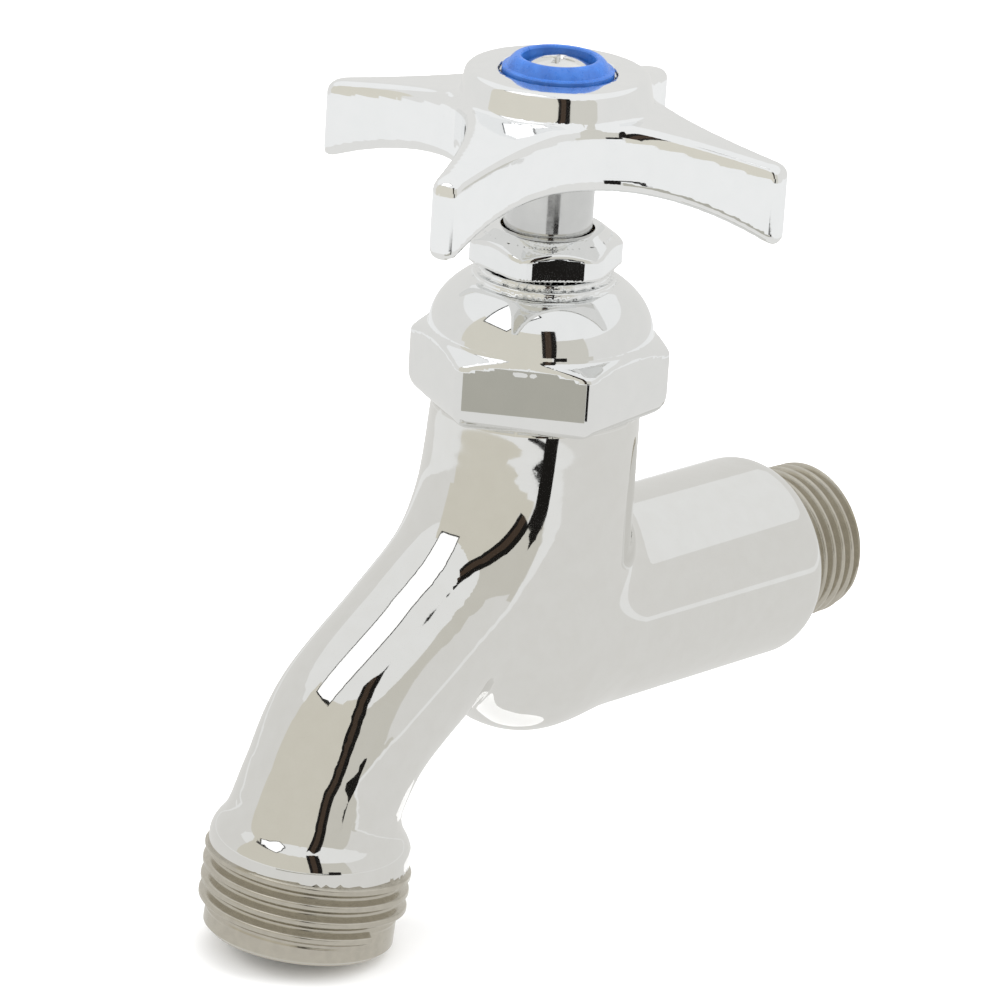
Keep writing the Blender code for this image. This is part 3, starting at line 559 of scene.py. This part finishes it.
def ridge(phase, crest, flank):
    """Height of a thread's section, 0 at the root and 1 at the crest, over one pitch."""
    away = np.abs((phase + 0.5) % 1.0 - 0.5)
    return 1.0 - smooth_step((away - crest) / flank)


def threaded(name, length, surface, bore_r, place):
    """A threaded sleeve grown along Z: its outside radius is surface(angle, distance)."""
    steps = THREAD_STEPS
    turns = np.arange(steps) * 2.0 * pi / steps
    rows = []
    for row in range(THREAD_ROWS + 1):
        along = length * row / THREAD_ROWS
        rows.append((surface(turns, along), along))
    rows.append((np.full(steps, bore_r + BORE_LIP), length))
    rows.append((np.full(steps, bore_r + 0.3 * BORE_LIP), length - 0.3 * BORE_LIP))
    rows.append((np.full(steps, bore_r), length - BORE_LIP))
    rows.append((np.full(steps, bore_r), length * 0.5))
    rows.append((np.full(steps, bore_r), 0.0))
    places = []
    for radii, along in rows:
        for radius, angle in zip(radii, turns):
            places.append(place @ Vector((radius * cos(angle), radius * sin(angle), along)))
    obj = mesh_object(name, places, wrapped_quads(len(rows), steps))
    obj.data.set_sharp_from_angle(angle=radians(50.0))
    return obj


def hose_surface(angle, along):
    """Garden hose thread: four rounded ridges that run in under the collar and stop at a chamfer."""
    drop = HOSE_START + along
    phase = (drop - FIRST_CREST) / HOSE_PITCH + (angle + pi / 4.0) / (2.0 * pi)
    start = smooth_step((phase + 0.75) / 0.5)
    end = 1.0 - smooth_step((phase - 3.35) / 0.5)
    height = ridge(phase, 0.1, 0.34) * start * end
    radius = HOSE_MAJOR_R - HOSE_DEPTH + HOSE_DEPTH * height
    chamfer = HOSE_RIM_R + 1.1 * np.maximum(HOSE_LENGTH - 0.5 * MM - drop, 0.0)
    rounding = 0.6 * MM * smooth_step((drop - HOSE_LENGTH + 0.6 * MM) / (0.6 * MM))
    return np.minimum(radius, chamfer) - rounding


def pipe_surface(angle, along):
    """Tapered pipe thread, with sharper ridges and a chamfered end."""
    back = PIPE_LENGTH - along
    phase = along / PIPE_PITCH - angle / (2.0 * pi)
    major = PIPE_END_R + PIPE_TAPER * back
    start = smooth_step((along - 1.6 * MM) / (1.8 * MM))
    radius = major - PIPE_DEPTH * (1.0 - ridge(phase, 0.08, 0.36)) * start
    chamfer = PIPE_END_R - 1.3 * MM + 1.3 * back
    return np.minimum(radius, chamfer)


def hose_thread():
    """The outlet's sleeve, tilted with the spout's end."""
    side = Vector((1.0, 0.0, 0.0))
    down = Vector(OUTLET_DOWN)
    out = down.cross(side)
    start = Vector(OUTLET) + HOSE_START * down
    place = Matrix((side, out, down)).transposed().to_4x4()
    place.translation = start
    length = HOSE_LENGTH - HOSE_START
    return threaded("hose_thread", length, hose_surface, OUTLET_BORE_R, place)


def pipe_thread():
    """The inlet's sleeve, which starts inside the barrel and ends at the origin's plane."""
    place = Matrix.Rotation(-pi / 2.0, 4, "X")
    place.translation = Vector((0.0, -PIPE_LENGTH, 0.0))
    return threaded("pipe_thread", PIPE_LENGTH, pipe_surface, INLET_BORE_R, place)


def spindle():
    """Stem with rings for its lifting thread and a foot, up to the base of the handle's square."""
    axis_r = 0.01 * MM
    profile = [(axis_r, -3.1 * MM), (3.5 * MM, -3.1 * MM), (3.5 * MM, -7.4 * MM), (2.5 * MM, -7.4 * MM)]
    profile += [(2.5 * MM, -8.6 * MM), (5.2 * MM, -8.6 * MM), (5.2 * MM, -4.2 * MM)]
    profile += [(SPINDLE_THREAD_R, SPINDLE_THREAD_LOW_H)]
    steps = SPINDLE_TURNS * 8
    for step in range(steps):
        crest = 0.5 + 0.5 * cos(2.0 * pi * step / 8.0)
        height = SPINDLE_THREAD_LOW_H + SPINDLE_THREAD_RISE * (step + 0.5) / steps
        profile.append((SPINDLE_THREAD_R - SPINDLE_THREAD_DEPTH * (1.0 - crest), height))
    profile += [(SPINDLE_THREAD_R, 7.4 * MM), (STEM_R, 8.2 * MM), (STEM_R, 30.0 * MM)]
    profile += [(STEM_R, SQUARE_BASE_H - 0.3 * MM), (STEM_R - 0.3 * MM, SQUARE_BASE_H)]
    profile.append((axis_r, SQUARE_BASE_H))
    return turned("stem_spindle", profile)


def index_ring():
    """Moulded ring with a small lip at its foot and a domed flank."""
    low = RING_POCKET_H + GAP
    lip_h = HUB_TOP_H + 0.35 * MM
    profile = [(RING_HOLE_R, low), (RING_R, low), (RING_R, lip_h - 0.15 * MM), (RING_R - 0.12 * MM, lip_h)]
    profile.append((RING_R - 0.45 * MM, lip_h + 0.05 * MM))
    flank_steps = 10
    start_r = RING_R - 0.55 * MM
    end_r = RING_HOLE_R + 0.45 * MM
    start_h = lip_h + 0.1 * MM
    for step in range(flank_steps + 1):
        share = step / flank_steps
        rise = sin(share * pi / 2.0) ** 0.9
        profile.append((start_r + (end_r - start_r) * share, start_h + (RING_TOP_H - start_h) * rise))
    profile += [(RING_HOLE_R + 0.15 * MM, RING_TOP_H - 0.08 * MM), (RING_HOLE_R, RING_TOP_H - 0.3 * MM)]
    return turned("blue_index_ring", profile)


# Materials


def new_material(name, colour, roughness, metallic):
    """A node material and its shader, with plain values that textures then vary."""
    made = bpy.data.materials.new(name)
    made.use_nodes = True
    shader = made.node_tree.nodes["Principled BSDF"]
    shader.inputs["Base Color"].default_value = (*colour, 1.0)
    shader.inputs["Roughness"].default_value = roughness
    shader.inputs["Metallic"].default_value = metallic
    return made, shader


def noise(made, size, detail=3.0, stretch=(1.0, 1.0, 1.0)):
    """Noise over the piece's own coordinates, with features of about this size in metres."""
    nodes = made.node_tree.nodes
    links = made.node_tree.links
    coordinates = nodes.new("ShaderNodeTexCoord")
    mapping = nodes.new("ShaderNodeMapping")
    mapping.inputs["Scale"].default_value = stretch
    texture = nodes.new("ShaderNodeTexNoise")
    texture.inputs["Scale"].default_value = 1.0 / size
    texture.inputs["Detail"].default_value = detail
    links.new(coordinates.outputs["Object"], mapping.inputs["Vector"])
    links.new(mapping.outputs["Vector"], texture.inputs["Vector"])
    return texture


def ramp(made, source, low, high, start=0.35, end=0.65):
    """Maps a grey texture to two colours."""
    node = made.node_tree.nodes.new("ShaderNodeValToRGB")
    node.color_ramp.elements[0].position = start
    node.color_ramp.elements[0].color = low
    node.color_ramp.elements[1].position = end
    node.color_ramp.elements[1].color = high
    made.node_tree.links.new(source.outputs["Fac"], node.inputs["Fac"])
    return node.outputs["Color"]


def vary_colour(made, shader, texture, low, high):
    """Lets a texture drive the base colour between two colours."""
    colour = ramp(made, texture, (*low, 1.0), (*high, 1.0))
    made.node_tree.links.new(colour, shader.inputs["Base Color"])


def vary_roughness(made, shader, texture, low, high):
    """Lets a texture drive the roughness between two values."""
    colour = ramp(made, texture, (low, low, low, 1.0), (high, high, high, 1.0))
    made.node_tree.links.new(colour, shader.inputs["Roughness"])


def emboss(made, shader, textures, distances):
    """Chains bumps, each of a texture and its depth in metres."""
    previous = None
    for texture, distance in zip(textures, distances):
        bump = made.node_tree.nodes.new("ShaderNodeBump")
        bump.inputs["Distance"].default_value = distance
        bump.inputs["Strength"].default_value = 1.0
        made.node_tree.links.new(texture.outputs["Fac"], bump.inputs["Height"])
        if previous:
            made.node_tree.links.new(previous.outputs["Normal"], bump.inputs["Normal"])
        previous = bump
    made.node_tree.links.new(previous.outputs["Normal"], shader.inputs["Normal"])


def chrome(name, low, high, rough_low, rough_high, wave):
    """Polished plate: a faint tint that drifts, hazier patches, a soft wave and a fine grain."""
    made, shader = new_material(name, high, rough_low, 1.0)
    vary_colour(made, shader, noise(made, 2.5 * MM, 6.0), low, high)
    vary_roughness(made, shader, noise(made, 6.0 * MM, 5.0), rough_low, rough_high)
    emboss(made, shader, [noise(made, 9.0 * MM, 2.0), noise(made, 0.5 * MM, 2.0)], [wave, 0.0006 * MM])
    return made


def cut_nickel(name):
    """Plated thread: warm, satin, with fine turning marks."""
    made, shader = new_material(name, (0.45, 0.42, 0.36), 0.3, 1.0)
    vary_colour(made, shader, noise(made, 1.2 * MM, 6.0), (0.53, 0.50, 0.435), (0.57, 0.54, 0.47))
    vary_roughness(made, shader, noise(made, 1.2 * MM, 6.0), 0.16, 0.26)
    emboss(made, shader, [noise(made, 0.35 * MM, 4.0)], [0.002 * MM])
    return made


def turned_steel(name):
    """Satin turned stem: fine rings round the axis and a soft drift of tone."""
    made, shader = new_material(name, (0.58, 0.58, 0.57), 0.3, 1.0)
    rings = noise(made, 0.18 * MM, 2.0, (0.02, 0.02, 1.0))
    vary_colour(made, shader, noise(made, 5.0 * MM, 4.0), (0.61, 0.61, 0.605), (0.67, 0.67, 0.66))
    vary_roughness(made, shader, noise(made, 2.0 * MM, 4.0), 0.08, 0.15)
    emboss(made, shader, [rings], [0.0015 * MM])
    shader.inputs["Anisotropic"].default_value = 0.5
    return made


def plain_metal(name, low, high, roughness):
    """Bare metal with a drift of tone and fine turning marks."""
    made, shader = new_material(name, high, roughness, 1.0)
    vary_colour(made, shader, noise(made, 3.0 * MM, 5.0), low, high)
    vary_roughness(made, shader, noise(made, 1.0 * MM, 5.0), roughness * 0.8, roughness * 1.3)
    emboss(made, shader, [noise(made, 0.25 * MM, 3.0, (0.2, 0.2, 1.0))], [0.003 * MM])
    return made


def moulded_blue(name):
    """Semi-gloss plastic with a slight mottle, orange peel and dust-fine grain."""
    made, shader = new_material(name, (0.03, 0.13, 0.48), 0.3, 0.0)
    vary_colour(made, shader, noise(made, 2.2 * MM, 5.0), (0.020, 0.110, 0.42), (0.034, 0.155, 0.53))
    vary_roughness(made, shader, noise(made, 0.8 * MM, 4.0), 0.24, 0.4)
    emboss(made, shader, [noise(made, 1.1 * MM, 3.0), noise(made, 0.15 * MM, 2.0)], [0.012 * MM, 0.003 * MM])
    shader.inputs["IOR"].default_value = 1.5
    shader.inputs["Subsurface Weight"].default_value = 0.0
    return made


def soft_material(name, low, high, roughness, grain):
    """Rubber, packing or fibre, with a grain of about this size."""
    made, shader = new_material(name, high, roughness, 0.0)
    vary_colour(made, shader, noise(made, grain * 4.0, 6.0), low, high)
    vary_roughness(made, shader, noise(made, grain * 2.0, 4.0), roughness * 0.85, min(roughness * 1.15, 1.0))
    emboss(made, shader, [noise(made, grain, 5.0)], [0.03 * MM])
    return made


def dress(obj, material):
    """Gives a piece one material."""
    obj.data.materials.clear()
    obj.data.materials.append(material)


# Studio


def emitter(name, colour, strength):
    """An evenly glowing card."""
    made = bpy.data.materials.new(name)
    made.use_nodes = True
    made.node_tree.nodes.clear()
    glow = made.node_tree.nodes.new("ShaderNodeEmission")
    glow.inputs["Color"].default_value = (*colour, 1.0)
    glow.inputs["Strength"].default_value = strength
    output = made.node_tree.nodes.new("ShaderNodeOutputMaterial")
    made.node_tree.links.new(glow.outputs["Emission"], output.inputs["Surface"])
    return made


def towards(azimuth, elevation):
    """Unit vector at an azimuth from +X towards +Y and a height over the horizon, in degrees."""
    a = radians(azimuth)
    e = radians(elevation)
    return Vector((cos(a) * cos(e), sin(a) * cos(e), sin(e)))


def card(name, azimuth, elevation, distance, width, height, material):
    """A flat sheet that faces the object. It shows in reflections and not to the camera."""
    centre = Vector((0.0, STEM_Y, JOINT_Z)) + towards(azimuth, elevation) * distance
    mesh = bpy.data.meshes.new(name)
    corners = [(-width / 2, -height / 2, 0), (width / 2, -height / 2, 0)]
    corners += [(width / 2, height / 2, 0), (-width / 2, height / 2, 0)]
    mesh.from_pydata(corners, [], [(0, 1, 2, 3)])
    mesh.materials.append(material)
    obj = bpy.data.objects.new(name, mesh)
    obj.rotation_euler = towards(azimuth, elevation).to_track_quat("Z", "Y").to_euler()
    obj.location = centre
    bpy.context.scene.collection.objects.link(obj)
    only_reflected(obj)


def only_reflected(obj):
    """The camera and the floor don't see this sheet, and it throws no shadow."""
    obj.visible_camera = False
    obj.visible_diffuse = False
    obj.visible_shadow = False


def area_light(name, azimuth, elevation, distance, size, power):
    """A soft light that faces the object and doesn't show in its reflections."""
    data = bpy.data.lights.new(name, "AREA")
    data.shape = "RECTANGLE"
    data.size = size[0]
    data.size_y = size[1]
    data.energy = power
    obj = bpy.data.objects.new(name, data)
    way = towards(azimuth, elevation)
    obj.location = Vector((0.0, STEM_Y, JOINT_Z)) + way * distance
    obj.rotation_euler = way.to_track_quat("Z", "Y").to_euler()
    obj.visible_glossy = False
    bpy.context.scene.collection.objects.link(obj)


VIEW_AZIMUTH = -45.5
CAMERA_DISTANCE = 0.78
CAMERA_ELEVATION = 20.2
CAMERA_ROLL = 3.75
CAMERA_LENS = 216.6
AIM_RIGHT = -4.64 * MM
AIM_UP = -12.58 * MM
FLOOR_REACH = 3.0
FLOOR_GAP = 0.2 * MM
CARD_STEPS = 48
LENS_ELEVATION = 20.0
ROOF_AZIMUTH = VIEW_AZIMUTH - 60.0
ROOF_ELEVATION = 62.0


def camera():
    """Long lens, a little above the object and slightly tilted, looking at its front right."""
    data = bpy.data.cameras.new("camera")
    data.lens = CAMERA_LENS
    data.sensor_width = 36.0
    data.clip_start = 0.01
    data.clip_end = 20.0
    obj = bpy.data.objects.new("camera", data)
    back = towards(VIEW_AZIMUTH, CAMERA_ELEVATION)
    right = Vector((0.0, 0.0, 1.0)).cross(back).normalized()
    up = back.cross(right)
    roll = radians(CAMERA_ROLL)
    side = cos(roll) * right + sin(roll) * up
    top = cos(roll) * up - sin(roll) * right
    aim = Vector((0.0, STEM_Y, JOINT_Z)) + AIM_RIGHT * side + AIM_UP * top
    turn = Matrix((side, top, back)).transposed().to_4x4()
    turn.translation = aim + back * CAMERA_DISTANCE
    obj.matrix_world = turn
    bpy.context.scene.collection.objects.link(obj)
    bpy.context.scene.camera = obj


def floor():
    """A plain pale sweep under and behind the object."""
    made, shader = new_material("paper", (0.93, 0.93, 0.93), 0.9, 0.0)
    vary_colour(made, shader, noise(made, 0.4, 2.0), (0.92, 0.92, 0.92), (0.94, 0.94, 0.94))
    level = CAD_LOW_Z - FLOOR_GAP
    corners = [(-FLOOR_REACH, -FLOOR_REACH, level), (FLOOR_REACH, -FLOOR_REACH, level)]
    corners += [(FLOOR_REACH, FLOOR_REACH, level), (-FLOOR_REACH, FLOOR_REACH, level)]
    mesh = bpy.data.meshes.new("floor")
    mesh.from_pydata(corners, [], [(0, 1, 2, 3)])
    mesh.materials.append(made)
    obj = bpy.data.objects.new("floor", mesh)
    bpy.context.scene.collection.objects.link(obj)


def world():
    """Even white light all round, which is also the background the camera sees."""
    made = bpy.data.worlds.new("studio")
    made.use_nodes = True
    background = made.node_tree.nodes["Background"]
    background.inputs["Color"].default_value = (1.0, 1.0, 1.0, 1.0)
    background.inputs["Strength"].default_value = 1.0
    bpy.context.scene.world = made


def sector_card(name, start, end, rims, material):
    """A strip between two rims, each a reach from the stem and a level, swept in azimuth.

    The azimuths are in degrees from the view.
    """
    places = []
    for reach, level in rims:
        for step in range(CARD_STEPS + 1):
            a = radians(VIEW_AZIMUTH + start + (end - start) * step / CARD_STEPS)
            places.append((reach * cos(a), STEM_Y + reach * sin(a), level))
    row = CARD_STEPS + 1
    faces = [(n, n + 1, n + row + 1, n + row) for n in range(CARD_STEPS)]
    obj = mesh_object(name, places, faces)
    dress(obj, material)
    only_reflected(obj)


def floor_card(name, start, end, near, far, layer, material):
    """A sector over the floor. Higher layers cover lower ones."""
    level = CAD_LOW_Z + (0.5 + 0.3 * layer) * MM
    sector_card(name, start, end, ((near, level), (far, level)), material)


def wall_card(name, start, end, low, high, distance, material):
    """A curved wall at a distance from the stem, between two elevations in degrees."""
    levels = [JOINT_Z + distance * tan(radians(elevation)) for elevation in (low, high)]
    sector_card(name, start, end, [(distance, level) for level in levels], material)


def room_card(radius, material):
    """A ball round the whole studio that dims the white world in reflections only."""
    parts = CARD_STEPS // 2
    turns = [pi * part / parts for part in range(parts + 1)]
    profile = [(radius * sin(turn), radius * cos(turn)) for turn in turns]
    profile += [(radius * 1.2, -radius * 1.2), (radius * 1.2, radius * 1.2)]
    obj = turned("room_card", profile, CARD_STEPS)
    dress(obj, material)
    only_reflected(obj)


def studio():
    """White room with a warm grey corner at the front left and dark strips round the lens."""
    world()
    black = emitter("black_card", (0.012, 0.011, 0.010), 1.0)
    brown = emitter("brown_card", (0.060, 0.042, 0.030), 1.0)
    warm = emitter("warm_card", (0.69, 0.665, 0.585), 1.0)
    dusk = emitter("dusk_card", (0.64, 0.625, 0.57), 1.0)
    shade = emitter("shade_card", (0.43, 0.42, 0.37), 1.0)
    grey = emitter("grey_card", (0.77, 0.765, 0.745), 1.0)
    pale = emitter("pale_card", (0.88, 0.885, 0.88), 1.0)
    white = emitter("white_card", (1.0, 1.0, 1.0), 1.3)
    room_card(2.6, pale)
    # Start and end azimuth from the view, near and far reach, layer
    floor_card("far_floor", 0.0, 360.0, 0.01, 2.2, 0, grey)
    floor_card("warm_floor", -80.0, 13.0, 0.40, 1.4, 1, warm)
    floor_card("dusk_floor", 27.5, 55.0, 0.40, 1.4, 1, dusk)
    floor_card("handle_floor", 0.0, 360.0, 0.25, 0.40, 1, pale)
    floor_card("shade_floor", -35.0, 13.0, 0.165, 0.25, 1, shade)
    floor_card("dark_near_floor", 14.5, 27.5, 0.19, 0.30, 2, black)
    floor_card("dark_far_floor", 14.5, 27.5, 0.40, 1.4, 2, black)
    floor_card("stem_floor", -4.0, 27.5, 0.287, 0.322, 2, black)
    # Start and end azimuth from the view, low and high elevation, distance
    wall_card("dark_curb", 14.5, 27.5, -18.0, -10.0, 0.20, black)
    wall_card("grey_wall", 0.0, 360.0, -8.0, 36.0, 2.2, grey)
    wall_card("warm_wall", -85.0, 3.0, -8.0, 46.0, 1.4, warm)
    wall_card("dusk_wall", 15.0, 50.0, -8.0, 34.0, 1.4, dusk)
    # Azimuth, elevation, distance, width, height
    card("lens_black", VIEW_AZIMUTH + 10.0, LENS_ELEVATION, 1.2, 0.30, 1.5, black)
    card("lens_brown", VIEW_AZIMUTH + 9.0, LENS_ELEVATION, 1.19, 0.12, 1.5, brown)
    card("roof_frame", ROOF_AZIMUTH, ROOF_ELEVATION, 0.92, 0.48, 0.68, black)
    card("roof_box", ROOF_AZIMUTH, ROOF_ELEVATION, 0.90, 0.43, 0.62, white)
    # Azimuth, elevation, distance, size, watts
    area_light("top_softbox", 100.0, 72.0, 1.0, (1.0, 1.0), 7.0)
    area_light("left_softbox", VIEW_AZIMUTH - 95.0, 25.0, 1.1, (0.6, 0.9), 5.0)
    area_light("right_softbox", VIEW_AZIMUTH + 85.0, 30.0, 1.1, (0.6, 0.9), 5.0)
    floor()
    camera()
    bpy.context.scene.view_settings.view_transform = "Standard"


# Pieces


def stem_box(reach, low_h, high_h):
    """Corners of a box round the stem between two heights."""
    low = [-reach, STEM_Y - reach, JOINT_Z + low_h]
    high = [reach, STEM_Y + reach, JOINT_Z + high_h]
    return low, high


def body_pieces():
    """The casting and its two threads, which stand for the CAD body."""
    low = [-NECK_R, STEM_Y - CASTING_REACH, JOINT_Z - CASTING_DROP]
    high = [NECK_R, BARREL_END_Y, JOINT_Z]
    shell = skin("casting", casting, low, high, CASTING_CELL)
    hose = hose_thread()
    pipe = pipe_thread()
    plate = chrome("body_chrome", (0.797, 0.793, 0.775), (0.812, 0.81, 0.795), 0.03, 0.055, 0.006 * MM)
    nickel = cut_nickel("thread_nickel")
    dress(shell, plate)
    dress(hose, nickel)
    dress(pipe, nickel)
    for piece in (shell, hose, pipe):
        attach(piece, "valve_body")
        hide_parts("faucet_body")


def bonnet_pieces():
    """The bonnet with its hexagon, and the packing nut."""
    plate = chrome("bonnet_chrome", (0.872, 0.88, 0.882), (0.888, 0.894, 0.896), 0.03, 0.06, 0.006 * MM)
    low, high = stem_box(HEX_CORNER_R, PLUG_LOW_H, BONNET_NECK_H)
    shell = skin("bonnet_shell", bonnet, low, high, BONNET_CELL)
    low, high = stem_box(NUT_CORNER_R, NUT_LOW_H, NUT_TOP_H)
    nut = skin("gland_nut", packing_nut, low, high, NUT_CELL)
    for piece, node in ((shell, "bonnet"), (nut, "packing_nut")):
        dress(piece, plate)
        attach(piece, "valve_body")
        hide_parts(node)


def handle_pieces():
    """The parts that turn with the handle: cross, screw, spindle and index ring."""
    plate = chrome("handle_chrome", (0.922, 0.93, 0.935), (0.936, 0.942, 0.947), 0.03, 0.07, 0.006 * MM)
    steel = plain_metal("bright_steel", (0.82, 0.82, 0.81), (0.92, 0.92, 0.91), 0.14)
    low, high = stem_box(ARM_REACH, ARM_TIP_LOW_H, HUB_TOP_H)
    cross = skin("cross_handle", handle, low, high, HANDLE_CELL)
    low, high = stem_box(SCREW_HEAD_R, SCREW_LOW_H, SCREW_TOP_H)
    screw = skin("pan_screw", screw_head, low, high, SCREW_CELL)
    stem = spindle()
    ring = index_ring()
    dress(cross, plate)
    dress(screw, steel)
    dress(stem, turned_steel("spindle_steel"))
    dress(ring, moulded_blue("index_plastic"))
    rows = ((cross, "handle", "chrome_handle"), (screw, "handle_screw", "steel"))
    rows += ((stem, "spindle", "spindle_metal"), (ring, "index_ring", "index_blue"))
    for piece, node, finish in rows:
        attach(piece, "stem")
        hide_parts(node)


def inner_pieces():
    """Materials for the pieces inside, which keep their CAD shapes."""
    brass = plain_metal("machined_brass", (0.58, 0.42, 0.20), (0.78, 0.60, 0.33), 0.3)
    steel = plain_metal("inner_steel", (0.55, 0.55, 0.54), (0.75, 0.75, 0.74), 0.28)
    rubber = soft_material("black_rubber", (0.018, 0.018, 0.018), (0.035, 0.034, 0.033), 0.7, 0.2 * MM)
    packing = soft_material("graphite_packing", (0.12, 0.12, 0.125), (0.24, 0.24, 0.25), 0.6, 0.4 * MM)
    fibre = soft_material("red_fibre", (0.34, 0.12, 0.08), (0.50, 0.21, 0.14), 0.8, 0.3 * MM)
    finishes = {"brass": brass, "steel": steel, "rubber": rubber, "packing": packing, "fibre": fibre}
    for part in frame["record"]["subparts"]:
        finish = finishes.get(part["material_slot"])
        if finish:
            dress(frame["nodes"][part["node"]], finish)


body_pieces()
bonnet_pieces()
handle_pieces()
inner_pieces()
studio()
